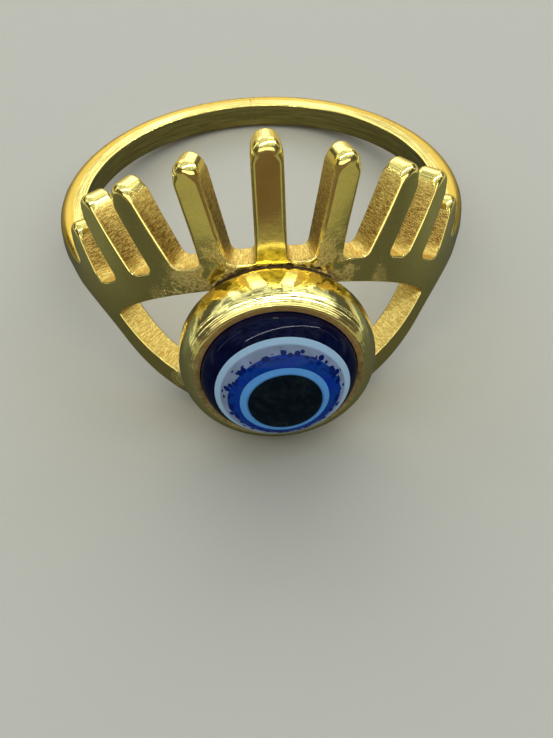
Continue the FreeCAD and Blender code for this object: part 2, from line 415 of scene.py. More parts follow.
def roll(flat, vectors):
    """Directions in the flat pattern turned into directions on the rolled band."""
    turn = flat[:, 0] / OUTER
    across = np.column_stack([np.cos(turn), np.sin(turn), 0 * turn])
    outward = np.column_stack([np.sin(turn), -np.cos(turn), 0 * turn])
    return across * vectors[:, :1] + outward * vectors[:, 2:] + np.array([0, 0, 1]) * vectors[:, 1:2]


def rolled(flat):
    """Points of the flat pattern laid around the finger."""
    turn = flat[:, 0] / OUTER
    radius = OUTER - flat[:, 2]
    return np.column_stack([radius * np.sin(turn), -radius * np.cos(turn), flat[:, 1] + EYE_Z])


def store(mesh, name, values):
    """Keeps three numbers for every corner, for the materials to read."""
    attribute = mesh.attributes.new(name, "FLOAT_VECTOR", "POINT")
    attribute.data.foreach_set("vector", np.asarray(values, np.float32).ravel())


def read(mesh, name):
    """The three numbers kept for every corner."""
    values = np.zeros(len(mesh.vertices) * 3, np.float32)
    mesh.attributes[name].data.foreach_get("vector", values)
    return values.reshape(-1, 3)


def linked(name, data):
    """A new object in the scene."""
    made = bpy.data.objects.new(name, data)
    bpy.context.scene.collection.objects.link(made)
    return made


def make_band():
    """The whole band as one closed mesh, with the exact direction of its surface at every corner."""
    flat = FlatMesh()
    outlines = band_outlines()
    add_edges(flat, outlines)
    add_face(flat, outlines, outer_edge, 0, 1)
    add_face(flat, outlines, inner_edge, WALL, -1)
    corners = np.vstack(flat.corners)
    mesh = bpy.data.meshes.new("band_metal")
    mesh.from_pydata((rolled(corners) * MM).tolist(), [], flat.faces)
    store(mesh, "flat", corners)
    store(mesh, "cut", np.vstack(flat.cut))
    store(mesh, "exact_normal", roll(corners, np.vstack(flat.normals)))
    welded = bmesh.new()
    welded.from_mesh(mesh)
    bmesh.ops.remove_doubles(welded, verts=welded.verts, dist=WELD_DISTANCE)
    bmesh.ops.recalc_face_normals(welded, faces=welded.faces)
    welded.to_mesh(mesh)
    welded.free()
    mesh.shade_smooth()
    mesh.normals_split_custom_set_from_vertices(read(mesh, "exact_normal"))
    return linked("band_metal", mesh)


# ---- turned pieces: profiles are (radius from the line of sight, distance from the finger axis) ----

def closed_mesh(name, corners, faces):
    """A smooth closed piece from corners in millimetres, with its crisp edges kept."""
    mesh = bpy.data.meshes.new(name)
    mesh.from_pydata((corners * MM).tolist(), [], faces)
    fixed = bmesh.new()
    fixed.from_mesh(mesh)
    bmesh.ops.remove_doubles(fixed, verts=fixed.verts, dist=WELD_DISTANCE)
    # merged corners leave loose edges behind
    bmesh.ops.delete(fixed, geom=[e for e in fixed.edges if e.is_wire], context="EDGES")
    bmesh.ops.recalc_face_normals(fixed, faces=fixed.faces)
    fixed.to_mesh(mesh)
    fixed.free()
    mesh.shade_smooth()
    mesh.set_sharp_from_angle(angle=CRISP_ANGLE)
    return linked(name, mesh)


def turned(name, profile, segments=CUP_SEGMENTS):
    """A closed solid of revolution about the eye's line of sight."""
    radius, distance = np.array(profile).T
    angles = np.linspace(0, 2 * math.pi, segments, endpoint=False)
    rays = np.stack([np.cos(angles), np.sin(angles)], -1)
    inner = slice(1, -1)
    rings = radius[inner, None, None] * rays[None]
    depth = np.broadcast_to(-distance[inner, None], rings.shape[:2])
    corners = np.stack([rings[..., 0], depth, rings[..., 1] + EYE_Z], -1).reshape(-1, 3)
    ends = [[0, -distance[0], EYE_Z], [0, -distance[-1], EYE_Z]]
    corners = np.vstack([corners, ends])
    rows = len(radius) - 2
    first_pole, last_pole = rows * segments, rows * segments + 1
    faces = []
    for k in range(segments):
        following = (k + 1) % segments
        faces.append((first_pole, following, k))
        faces.append((last_pole, (rows - 1) * segments + k, (rows - 1) * segments + following))
        for row in range(rows - 1):
            a, b = row * segments + k, row * segments + following
            faces.append((a, b, b + segments, a + segments))
    return closed_mesh(name, corners, faces)


# Bezel cup
CUP_BACK_RADIUS = 4.30
CUP_WIDEST_DEPTH = 0.85
CUP_RIM = 3.80
CUP_POCKET = 3.50
CUP_FLOOR = 0.50
CUP_BEVEL = 0.09
CUP_BACK_ROWS = 16
CUP_CREST_ROWS = 130
# turned lines beside the rim: distance from the rim along the crest, width, depth
TURNED_LINES = [(0.17, 0.030, 0.010), (0.30, 0.022, 0.008), (0.43, 0.040, 0.012), (0.62, 0.020, 0.005)]


def cup_profile():
    """Flat back, bulging wall, turned lines, bevelled mouth, then the pocket for the glass."""
    widest = CUP_BACK + CUP_WIDEST_DEPTH
    outline = [(0, CUP_BACK)]
    outline += [(CUP_BACK_RADIUS * share, CUP_BACK) for share in (0.5, 0.98)]
    for turn in np.linspace(-math.pi / 2, 0, CUP_BACK_ROWS):
        bulge = (CUP_RADIUS - CUP_BACK_RADIUS) * math.cos(turn)
        outline.append((CUP_BACK_RADIUS + bulge, widest + CUP_WIDEST_DEPTH * math.sin(turn)))
    for turn in np.linspace(0, math.pi / 2, CUP_CREST_ROWS)[1:]:
        away = CUP_RIM + (CUP_RADIUS - CUP_RIM) * math.cos(turn)
        ahead = widest + (CUP_FRONT - widest) * math.sin(turn)
        from_rim = math.hypot(away - CUP_RIM, ahead - CUP_FRONT)
        groove = sum(deep * math.exp(-((from_rim - at) / wide) ** 2) for at, wide, deep in TURNED_LINES)
        outline.append((away - groove * math.cos(turn), ahead - groove * math.sin(turn)))
    outline.append((CUP_RIM - 0.03, CUP_FRONT - 0.004))
    outline.append((CUP_POCKET + 0.02, CUP_FRONT - CUP_BEVEL + 0.01))
    outline.append((CUP_POCKET, CUP_FRONT - CUP_BEVEL - 0.03))
    outline += [(CUP_POCKET, CUP_BACK + CUP_FLOOR), (0, CUP_BACK + CUP_FLOOR)]
    return outline


# Glass eye: node, how uneven its boundary is, how far it sits off centre along X and Z
GLASS = [
    ("navy_glass_body", 0.0, (0.0, 0.0)),
    ("white_layer", 0.004, (0.07, 0.0)),
    ("royal_blue_layer", 0.016, (0.12, -0.08)),
    ("light_blue_layer", 0.008, (0.11, -0.16)),
    ("black_pupil", 0.008, (0.14, -0.18)),
]
BOUNDARY_WAVES = 5
# the dome is an ellipse in profile, with a larger power on its lower side, which falls away sooner
ELLIPSE_POWER = 0.5
LOWER_SIDE_FALL = 0.15


def dome(radius, angles):
    """Distance of the polished dome from the finger axis."""
    power = ELLIPSE_POWER + LOWER_SIDE_FALL * (0.5 - 0.5 * np.sin(angles))
    return CUP_FRONT + (STONE_APEX - CUP_FRONT) * np.maximum(1 - (radius / STONE_RADIUS) ** 2, 0) ** power


def boundary(radius, unevenness, shift):
    """A boundary between two colours: a circle a little off centre, with a few gentle waves round it."""
    phases = np.random.default_rng(round(radius * 100)).uniform(0, 2 * math.pi, BOUNDARY_WAVES)

    def around(angles):
        waves = sum(np.sin((k + 2) * angles + phases[k]) / (k + 1) for k in range(BOUNDARY_WAVES))
        return radius * (1 + unevenness * waves) + shift[0] * np.cos(angles) + shift[1] * np.sin(angles)

    return around


def glass_colour(name, edge, core, back, segments=GLASS_SEGMENTS, rows=GLASS_ROWS):
    """One colour of the glass: its share of the dome, its side walls and its back."""
    angles = np.linspace(0, 2 * math.pi, segments, endpoint=False)
    outer, inner = edge(angles), core(angles)
    shares = np.linspace(0, 1, rows)[:, None]
    radii = inner + (outer - inner) * shares
    radii = np.vstack([radii, outer, inner])
    ahead = np.vstack([dome(radii[:rows], angles), np.full((2, segments), back)])
    across, up = radii * np.cos(angles), radii * np.sin(angles)
    corners = np.stack([across, -ahead, up + EYE_Z], -1).reshape(-1, 3)
    faces = []
    for row in range(rows + 2):
        for k in range(segments):
            this, following = row * segments, (row + 1) % (rows + 2) * segments
            beside = (k + 1) % segments
            faces.append((this + k, this + beside, following + beside, following + k))
    return closed_mesh(name, corners, faces)


def make_glass():
    """The five glasses, each reaching inwards to the boundary of the next."""
    edges = [boundary(node_radius(node), unevenness, shift) for node, unevenness, shift in GLASS]
    edges.append(boundary(0, 0, (0, 0)))
    made = []
    for (node, _, _), edge, core in zip(GLASS, edges, edges[1:]):
        made.append(glass_colour(node + "_glass", edge, core, -node_box(node)[1][1]))
    return made


# ---- welds between the cup and the lids ----

WELD_RADIUS = 4.32
WELD_HALF_ANGLE = 38
WELD_THICKNESS = 0.07
WELD_OVERLAP = 0.05
WELD_BEADS = 60
WELD_END_BEADS = 3
WELD_SIDES = 14
WELD_LUMPS = (0.75, 1.2)
WELD_WANDER = (-0.03, 0.03)
WELD_THINNEST = 0.2


def weld_bead(name, middle, seed):
    """A lumpy seam that fills the gap behind the cup where it crosses a lid."""
    draw = np.random.default_rng(seed)
    around = np.radians(middle + np.linspace(-WELD_HALF_ANGLE, WELD_HALF_ANGLE, WELD_BEADS))
    turns = np.linspace(0, 2 * math.pi, WELD_SIDES, endpoint=False)[:, None]
    rings, faces = [], []
    for k, angle in enumerate(around):
        fade = min(k, WELD_BEADS - 1 - k) / WELD_END_BEADS
        size = min(fade, 1) * draw.uniform(*WELD_LUMPS)
        radius = WELD_RADIUS + draw.uniform(*WELD_WANDER)
        x, z = radius * math.cos(angle), radius * math.sin(angle)
        lid = math.sqrt(OUTER ** 2 - x ** 2)
        centre = np.array([x, -(lid + CUP_BACK) / 2, z + EYE_Z])
        outward = np.array([math.cos(angle), 0, math.sin(angle)])
        tall = WELD_THICKNESS * size
        deep = ((CUP_BACK - lid) / 2 + WELD_OVERLAP) * max(size, WELD_THINNEST)
        rings.append(centre + tall * np.cos(turns) * outward + deep * np.sin(turns) * [0, 1, 0])
    for row in range(WELD_BEADS - 1):
        for side in range(WELD_SIDES):
            a, b = row * WELD_SIDES + side, row * WELD_SIDES + (side + 1) % WELD_SIDES
            faces.append((a, b, b + WELD_SIDES, a + WELD_SIDES))
    return closed_mesh(name, np.vstack(rings), faces)


# ---- node graphs ----

def add(tree, kind, inputs=(), **settings):
    """Adds a shader node. Inputs are (name or number, value or socket) pairs."""
    made = tree.nodes.new("ShaderNode" + kind)
    for name, value in settings.items():
        setattr(made, name, value)
    for name, value in inputs:
        if isinstance(value, bpy.types.NodeSocket):
            tree.links.new(value, made.inputs[name])
        else:
            made.inputs[name].default_value = value
    return made


def calc(tree, operation, a, b=0.0):
    """One sum on two numbers."""
    return add(tree, "Math", [(0, a), (1, b)], operation=operation).outputs[0]


def blend(tree, share, a, b):
    """Colour a where share is 0, colour b where it's 1."""
    return add(tree, "Mix", [(0, share), (6, a), (7, b)], data_type="RGBA").outputs[2]


def between(tree, value, start, end, low=0.0, high=1.0):
    """Low before start, high after end, smooth in between."""
    inputs = [("Value", value), ("From Min", start), ("From Max", end), ("To Min", low), ("To Max", high)]
    return add(tree, "MapRange", inputs, interpolation_type="SMOOTHSTEP").outputs[0]


def times(tree, *factors):
    """The product of masks or numbers."""
    product = factors[0]
    for factor in factors[1:]:
        product = calc(tree, "MULTIPLY", product, factor)
    return product


def length(tree, a, b):
    """Length of the arrow whose sides are a and b."""
    return calc(tree, "SQRT", calc(tree, "ADD", times(tree, a, a), times(tree, b, b)))


def split(tree, vector):
    """Three numbers packed in a vector or an attribute, one by one."""
    return add(tree, "SeparateXYZ", [(0, vector)]).outputs


def joined(tree, *parts):
    """Two or three numbers as one vector."""
    return add(tree, "CombineXYZ", list(enumerate(parts))).outputs[0]


def noise(tree, vector, scale, detail=2.0, roughness=0.5):
    """Clouds from 0 to 1, finer with a larger scale."""
    inputs = [("Vector", vector), ("Scale", scale), ("Detail", detail), ("Roughness", roughness)]
    return add(tree, "TexNoise", inputs).outputs[0]


def raised(tree, height, depth, under=None):
    """Bends the surface direction by a height that goes from 0 to 1, depth in millimetres."""
    inputs = [("Height", height), ("Strength", 1.0), ("Distance", depth * MM)]
    if under is not None:
        inputs.append(("Normal", under))
    return add(tree, "Bump", inputs).outputs[0]


def named(tree, name):
    """A stored attribute as separate numbers."""
    return split(tree, add(tree, "Attribute", attribute_name=name).outputs["Vector"])


def millimetres(tree):
    """The place of a point in millimetres."""
    inputs = [(0, add(tree, "NewGeometry").outputs["Position"]), (1, (1 / MM, 1 / MM, 1 / MM))]
    return add(tree, "VectorMath", inputs, operation="MULTIPLY").outputs[0]


def sight_radius(tree, centre=(0.0, 0.0)):
    """Distance from the eye's line of sight, or from a line beside it."""
    x, _, z = split(tree, millimetres(tree))
    x = calc(tree, "SUBTRACT", x, centre[0])
    return length(tree, x, calc(tree, "SUBTRACT", z, EYE_Z + centre[1]))


def material(name, build):
    """A material whose nodes come from one of the functions below."""
    made = bpy.data.materials.new(name)
    made.use_nodes = True
    build(made.node_tree, made.node_tree.nodes["Principled BSDF"])
    return made


def connect(tree, shader, **sockets):
    """Sets inputs of the main shader. Their names are written with _ for each space."""
    for name, value in sockets.items():
        socket = shader.inputs[name.replace("_", " ")]
        if isinstance(value, bpy.types.NodeSocket):
            tree.links.new(value, socket)
        else:
            socket.default_value = value


# ---- materials ----

# Gold of the band: polished, tarnished, a painted reflection on the shank's outer edge, drawn lines along
# the shank, cut walls in painted light and shade with painted glints, and marks of the welder's heat with
# painted seam shadow
GOLD = (0.87, 0.73, 0.23, 1)
TARNISHED_GOLD = (0.66, 0.51, 0.17, 1)
# painted reflection on the shank's rounded outer edge, darker orange than its lit top
SHANK_EDGE_PAINTED_REFLECTION = (0.50, 0.35, 0.055, 1)
DRAWN_SHADE = (0.50, 0.40, 0.12, 1)
# Cut walls: the first two are painted light on the slot bottoms and tips, the last two painted shade
# between the lashes; the paler of each pair is painted glints on the grain
LIT_CUT_GLINT = (0.88, 0.74, 0.25, 1)
LIT_CUT = (0.52, 0.31, 0.055, 1)
SHADED_CUT_GLINT = (0.80, 0.60, 0.17, 1)
SHADED_CUT = (0.22, 0.12, 0.020, 1)
# soot and the painted shadow of the seam beside the cup
SOOT_AND_SEAM_SHADE = (0.030, 0.018, 0.008, 1)
SAND = (0.60, 0.46, 0.19, 1)
DARK_SAND = (0.13, 0.085, 0.035, 1)

# Gold of the cup, with painted reflection, shade and highlight on its bevel
CUP_GOLD = (0.87, 0.76, 0.30, 1)
# a deeper yellow at the top and bottom of the cup's back, by the welds
DEEP_YELLOW_GOLD = (0.86, 0.66, 0.12, 1)
# the bevel's painted reflection above, its painted shade below, and a painted highlight on its lip
BEVEL_PAINTED_REFLECTION = (0.84, 0.43, 0.12, 1)
BEVEL_PAINTED_SHADE = (0.26, 0.16, 0.055, 1)
LIP_PAINTED_HIGHLIGHT = (0.92, 0.68, 0.42, 1)

# Glass
GLASS_SHINE = 0.05
MILK = (0.30, 0.37, 0.62, 1)
GREY_MILK = (0.24, 0.31, 0.46, 1)
MILK_RIM = (0.46, 0.68, 0.96, 1)
ROYAL = (0.003, 0.038, 0.40, 1)
CLOUDY_ROYAL = (0.008, 0.060, 0.34, 1)
DEEP_BLUE = (0.002, 0.016, 0.17, 1)
LIGHT_BLUE = (0.12, 0.38, 1.0, 1)
PALE_BLUE = (0.17, 0.49, 1.0, 1)
NAVY = (0.002, 0.003, 0.024, 1)
PALE_NAVY = (0.004, 0.008, 0.045, 1)
BESIDE_PUPIL = (0.03, 0.14, 0.42, 1)
BLACK = (0.003, 0.008, 0.015, 1)
SMOKE = (0.012, 0.022, 0.030, 1)
GLUE = (0.84, 0.83, 0.78, 1)
DARK_GLUE = (0.70, 0.68, 0.60, 1)
CENTRE = {node: shift for node, _, shift in GLASS}

# Where looks change, as (start, end) in millimetres
SHANK_LOOK = (10.6, 12.4)
STRIP_SIDE = (0.5, 1.1)
STRIP_DEPTH = (0.62, 0.84)
# reach of the soot and painted seam shadow
SOOT_AND_SHADE_ENDS = (4.60, 4.70)
SOOT_AND_SHADE_SIDE = (2.0, 3.2)
SAND_ENDS = (4.5, 6.8)
SAND_SIDE = (0.8, 1.6)
# where the painted shade on the cut walls starts and ends
SHADED_WALL_STARTS = (0.3, 0.8)
SHADED_WALL_ENDS = (2.0, 5.0)
MILK_RIM_STARTS = (2.68, 2.78)
MILK_DOTS = 0.32
ROYAL_DOTS_START = (2.10, 2.35)
PUPIL_SHADE_ENDS = (1.64, 1.74)


def wall_grain(tree, place, along, depth):
    """Fine lines through the thickness, crossed by finer pits."""
    lines = noise(tree, joined(tree, along, times(tree, depth, 0.14)), 16.0, 3.0, 0.7)
    pits = noise(tree, place, 17.0, 4.0, 0.75)
    return calc(tree, "ADD", times(tree, lines, 0.45), times(tree, pits, 0.55))


def wall_colour(tree, side, y, grain):
    """Pale painted light at the bottom of the slots, in the eye and near the tips, orange-brown painted
    shade between.
    """
    fall = times(tree, side, side, 0.5 / LID_TOP_RADIUS)
    above = calc(tree, "SUBTRACT", calc(tree, "ADD", y, fall), LID_TOP)
    # painted shade between the lashes; below and above it the walls stay pale as painted light
    starts = between(tree, above, *SHADED_WALL_STARTS)
    brown = times(tree, starts, between(tree, above, *SHADED_WALL_ENDS, 1.0, 0.0))
    # the grain's bright specks are painted glints
    grain_glints = between(tree, grain, 0.45, 0.57)
    pale = blend(tree, grain_glints, LIT_CUT, LIT_CUT_GLINT)
    return blend(tree, brown, pale, blend(tree, grain_glints, SHADED_CUT, SHADED_CUT_GLINT))


def heat_marks(tree, place, side, y, depth):
    """Masks for the outer face beside the cup: a thin ragged fringe of soot and painted seam shadow, and
    wider grainy patches.
    """
    away = length(tree, side, y)
    front = between(tree, depth, 0.05, 0.3, 1.0, 0.0)
    ragged = calc(tree, "ADD", away, times(tree, noise(tree, place, 2.5, 3.0, 0.6), 0.5))
    # a ragged dark fringe at the seam: soot with painted seam shadow
    by_cup = between(tree, ragged, *SOOT_AND_SHADE_ENDS, 1.0, 0.0)
    soot_and_seam_shade = times(tree, front, by_cup, between(tree, side, *SOOT_AND_SHADE_SIDE, 1.0, 0.0))
    patches = between(tree, noise(tree, place, 0.9, 3.0, 0.6), 0.42, 0.56)
    near = between(tree, away, *SAND_ENDS, 1.0, 0.0)
    return soot_and_seam_shade, times(tree, front, near, between(tree, side, *SAND_SIDE), patches)


def band_colour(tree, place, side, y, masks, grain, sand):
    """Polished gold, then the shank's lines and its strip of painted reflection, the cut walls, the grainy
    patches and the soot with painted seam shadow.
    """
    cut, lines, strip, soot_and_seam_shade, sandy = masks
    specks = between(tree, noise(tree, place, 11.0, 3.0, 0.7), 0.36, 0.60, 0.45, 0.0)
    colour = blend(tree, specks, GOLD, TARNISHED_GOLD)
    colour = blend(tree, lines, colour, DRAWN_SHADE)
    # painted reflection on the shank's rounded outer edge
    colour = blend(tree, strip, colour, SHANK_EDGE_PAINTED_REFLECTION)
    colour = blend(tree, cut, colour, wall_colour(tree, side, y, grain))
    colour = blend(tree, times(tree, sandy, 0.75), colour, blend(tree, sand, DARK_SAND, SAND))
    # soot with painted seam shadow
    return blend(tree, soot_and_seam_shade, colour, SOOT_AND_SEAM_SHADE)


def band_masks(tree, side, y, depth, wall, tip):
    """Where the shank is, where the walls are rough from cutting, and the strip on the shank's outer edge
    where a reflection is painted.
    """
    shank = between(tree, side, *SHANK_LOOK)
    straight = calc(tree, "SUBTRACT", 1.0, calc(tree, "MAXIMUM", shank, tip))
    cut = times(tree, between(tree, wall, 0.80, 0.99), straight)
    upper_side = between(tree, y, *STRIP_SIDE)
    # the strip on the shank's outer edge where the reflection is painted
    return shank, cut, times(tree, shank, upper_side, between(tree, depth, *STRIP_DEPTH, 1.0, 0.0))


def band_gold(tree, shader):
    """Polished faces and tips, grainy cut walls in painted light and shade, heat marks and painted seam
    shadow by the cup, drawn lines and a painted reflection along the shank.
    """
    x, y, depth = named(tree, "flat")
    along, wall, tip = named(tree, "cut")
    place = millimetres(tree)
    side = calc(tree, "ABSOLUTE", x)
    shank, cut, strip = band_masks(tree, side, y, depth, wall, tip)
    soot_and_seam_shade, sandy = heat_marks(tree, place, side, y, depth)
    grain = wall_grain(tree, place, along, depth)
    sand = between(tree, noise(tree, place, 8.0, 3.0, 0.75), 0.40, 0.60)
    drawn = noise(tree, joined(tree, times(tree, side, 0.05), y, depth), 7.0, 3.0, 0.7)
    lines = times(tree, shank, between(tree, drawn, 0.42, 0.60, 0.85, 0.0))
    colour = band_colour(tree, place, side, y, (cut, lines, strip, soot_and_seam_shade, sandy), grain, sand)
    worn = noise(tree, place, 0.9, 3.0, 0.5)
    rough = between(tree, worn, 0.3, 0.7, 0.10, 0.18)
    for mask, duller in ((cut, 0.20), (strip, 0.16), (sandy, 0.26), (soot_and_seam_shade, 0.35)):
        rough = calc(tree, "ADD", rough, times(tree, mask, duller))
    bumps = raised(tree, times(tree, drawn, between(tree, shank, 0.0, 1.0, 0.1, 1.0)), 0.010)
    bumps = raised(tree, noise(tree, place, 5.0, 3.0, 0.6), 0.0016, bumps)
    bumps = raised(tree, worn, 0.012, bumps)
    bumps = raised(tree, times(tree, sand, sandy), 0.03, bumps)
    bumps = raised(tree, times(tree, grain, cut), 0.05, bumps)
    connect(tree, shader, Base_Color=colour, Metallic=1.0, Roughness=rough, Normal=bumps)


def cup_colour(tree, place, distance, z, bevel, lip):
    """Gold, a deeper yellow by the welds, and a bevel in painted light: an orange reflection above and
    brown shade below, in uneven patches, with a painted highlight on its upper lip.
    """
    above_centre = calc(tree, "ABSOLUTE", calc(tree, "SUBTRACT", z, EYE_Z))
    by_weld = between(tree, distance, -CUP_BACK - 1.3, -CUP_BACK - 0.8)
    deep_yellow = times(tree, by_weld, between(tree, above_centre, 2.0, 3.2))
    colour = blend(tree, deep_yellow, CUP_GOLD, DEEP_YELLOW_GOLD)
    painted_light_top = between(tree, z, EYE_Z - 0.5, EYE_Z + 2.5)
    stain = between(tree, noise(tree, place, 5.0, 3.0, 0.6), 0.35, 0.65, 0.7, 1.0)
    # painted reflection above, painted shade below
    painted_bevel_light = blend(tree, painted_light_top, BEVEL_PAINTED_SHADE, BEVEL_PAINTED_REFLECTION)
    colour = blend(tree, times(tree, bevel, stain), colour, painted_bevel_light)
    # painted highlight along the upper lip
    return blend(tree, times(tree, lip, painted_light_top), colour, LIP_PAINTED_HIGHLIGHT)


def cup_gold(tree, shader):
    """Mirror polish with turned lines and a slight hand-polished wobble, and a dull bevel in painted light.
    """
    place = millimetres(tree)
    radius = sight_radius(tree)
    _, distance, z = split(tree, place)
    mouth = between(tree, distance, 0.5 - CUP_FRONT, 0.3 - CUP_FRONT)
    bevel = times(tree, mouth, between(tree, radius, CUP_RIM - 0.05, CUP_RIM - 0.01, 1.0, 0.0))
    lip = times(tree, mouth, between(tree, radius, CUP_POCKET + 0.03, CUP_POCKET + 0.07, 1.0, 0.0))
    colour = cup_colour(tree, place, distance, z, bevel, lip)
    rough = between(tree, noise(tree, place, 1.5, 3.0, 0.6), 0.3, 0.7, 0.05, 0.13)
    rough = calc(tree, "ADD", rough, times(tree, bevel, 0.35))
    bumps = raised(tree, noise(tree, place, 0.8, 2.0, 0.5), 0.05)
    bumps = raised(tree, noise(tree, place, 2.6, 2.0, 0.5), 0.008, bumps)
    bumps = raised(tree, noise(tree, joined(tree, radius, distance), 13.0, 2.0, 0.6), 0.0040, bumps)
    metal = calc(tree, "SUBTRACT", 1.0, times(tree, bevel, 0.5))
    connect(tree, shader, Base_Color=colour, Metallic=metal, Roughness=rough, Normal=bumps)


def weld_metal(tree, shader):
    """Burnt black with painted seam shadow along the cup's edge, tarnished gold towards the lid."""
    place = millimetres(tree)
    patches = noise(tree, place, 4.0, 4.0, 0.65)
    ragged = calc(tree, "ADD", split(tree, place)[1], times(tree, patches, 0.16))
    # black by the cup: burn with painted seam shadow
    burnt_and_shaded = between(tree, ragged, 0.14 - CUP_BACK, 0.24 - CUP_BACK, 1.0, 0.0)
    lid_side = blend(tree, between(tree, patches, 0.4, 0.6), DARK_SAND, TARNISHED_GOLD)
    bumps = raised(tree, noise(tree, place, 8.0, 3.0, 0.6), 0.05)
    connect(tree, shader, Base_Color=blend(tree, burnt_and_shaded, lid_side, SOOT_AND_SEAM_SHADE), Metallic=0.9, Normal=bumps)
    connect(tree, shader, Roughness=between(tree, patches, 0.3, 0.7, 0.35, 0.55))


def clear_glue(tree, shader):
    """Cloudy, faintly yellow glue."""
    place = millimetres(tree)
    colour = blend(tree, noise(tree, place, 1.2, 3.0, 0.5), DARK_GLUE, GLUE)
    bumps = raised(tree, noise(tree, place, 4.0, 2.0, 0.5), 0.02)
    connect(tree, shader, Base_Color=colour, Roughness=0.25, Coat_Weight=0.5, Normal=bumps)


def polished_glass(tree, shader, colour):
    """Opaque glass with a clear, faintly uneven polish."""
    place = millimetres(tree)
    uneven = raised(tree, noise(tree, place, 1.1, 2.0, 0.5), 0.006)
    rough = between(tree, noise(tree, place, 2.0, 3.0, 0.6), 0.3, 0.7, 0.03, 0.07)
    connect(tree, shader, Base_Color=colour, Roughness=rough, Normal=uneven)
    connect(tree, shader, IOR=1.52, Specular_IOR_Level=GLASS_SHINE)


def navy_glass(tree, shader):
    """Very dark blue with faint streaks."""
    streaks = noise(tree, millimetres(tree), 1.6, 4.0, 0.6)
    polished_glass(tree, shader, blend(tree, between(tree, streaks, 0.35, 0.7), NAVY, PALE_NAVY))


def speckles(tree, place):
    """Dots of about 0.3 mm, and a random number for each."""
    cells = add(tree, "TexVoronoi", [("Vector", place), ("Scale", 3.4), ("Randomness", 1.0)])
    chosen = add(tree, "SeparateColor", [(0, cells.outputs["Color"])]).outputs[0]
    return between(tree, cells.outputs["Distance"], 0.42, 0.52, 1.0, 0.0), chosen


def white_glass(tree, shader):
    """A bright bluish rim, greyer inwards, with clumps of blue dots where the royal blue begins."""
    place = millimetres(tree)
    milk = blend(tree, between(tree, noise(tree, place, 1.2, 3.0, 0.5), 0.35, 0.65), MILK, GREY_MILK)
    rim = between(tree, sight_radius(tree, CENTRE["white_layer"]), *MILK_RIM_STARTS)
    milk = blend(tree, rim, milk, MILK_RIM)
    from_royal = sight_radius(tree, CENTRE["royal_blue_layer"])
    royal_ends = node_radius("royal_blue_layer")
    density = between(tree, from_royal, royal_ends, royal_ends + MILK_DOTS, 1.0, 0.0)
    dot, chosen = speckles(tree, place)
    present = calc(tree, "LESS_THAN", chosen, density)
    polished_glass(tree, shader, blend(tree, times(tree, present, dot), milk, DEEP_BLUE))


def royal_glass(tree, shader):
    """Cloudy royal blue with darker dots along its edge."""
    place = millimetres(tree)
    clouds = between(tree, noise(tree, place, 1.3, 3.0, 0.6), 0.35, 0.68)
    colour = blend(tree, clouds, ROYAL, CLOUDY_ROYAL)
    dot, _ = speckles(tree, place)
    outer = between(tree, sight_radius(tree, CENTRE["royal_blue_layer"]), *ROYAL_DOTS_START)
    polished_glass(tree, shader, blend(tree, times(tree, dot, outer), colour, DEEP_BLUE))


def light_glass(tree, shader):
    """Light blue, with a deeper blue showing through beside the pupil."""
    place = millimetres(tree)
    colour = blend(tree, noise(tree, place, 2.0, 3.0, 0.5), LIGHT_BLUE, PALE_BLUE)
    shade = between(tree, sight_radius(tree, CENTRE["black_pupil"]), *PUPIL_SHADE_ENDS, 0.7, 0.0)
    polished_glass(tree, shader, blend(tree, shade, colour, BESIDE_PUPIL))


def black_glass(tree, shader):
    """Nearly black, with a few smoky clouds."""
    clouds = between(tree, noise(tree, millimetres(tree), 2.5, 4.0, 0.6), 0.45, 0.75)
    polished_glass(tree, shader, blend(tree, clouds, BLACK, SMOKE))


# ---- the object ----

GLASS_LOOKS = [
    ("navy_glass", navy_glass),
    ("white_glass", white_glass),
    ("royal_blue_glass", royal_glass),
    ("light_blue_glass", light_glass),
    ("black_glass", black_glass),
]


def place_piece(piece, node, look):
    """Puts a mesh in the place of its CAD node, with its material."""
    piece.data.materials.clear()
    piece.data.materials.append(look)
    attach(piece, "root")
    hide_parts(node)


def build_object():
    """Every piece of the ring. The hidden glue keeps its CAD shape."""
    place_piece(make_band(), "band", material("gold_band", band_gold))
    cup = turned("bezel_metal", cup_profile())
    place_piece(cup, "bezel_cup", material("gold_bezel", cup_gold))
    weld = material("weld_metal", weld_metal)
    place_piece(weld_bead("upper_weld_bead", 90, 21), "upper_weld", weld)
    place_piece(weld_bead("lower_weld_bead", -90, 22), "lower_weld", weld)
    for piece, (node, _, _), (slot, look) in zip(make_glass(), GLASS, GLASS_LOOKS):
        place_piece(piece, node, material(slot, look))
    glue = frame["nodes"]["glue_bed"]
    glue.data.materials.clear()
    glue.data.materials.append(material("clear_glue", clear_glue))


# ---- stage, lights and camera ----

FLOOR_SIZE = 1.2
FLOOR_COLOUR = (0.54, 0.52, 0.49, 1)
BACKDROP = (0.48, 0.47, 0.45, 1)
ROOM = (0.10, 0.10, 0.09, 1)
CEILING = (1.20, 1.30, 1.22, 1)
SHADE_IN_METAL = (0.060, 0.066, 0.060, 1)
SIDE_IN_METAL = (0.15, 0.165, 0.14, 1)
LIGHT_IN_METAL = (0.38, 0.36, 0.23, 1)
BROWN_IN_METAL = (0.10, 0.038, 0.010, 1)
WARM_IN_METAL = (0.52, 0.42, 0.22, 1)
PALE_IN_METAL = (0.85, 0.88, 0.74, 1)

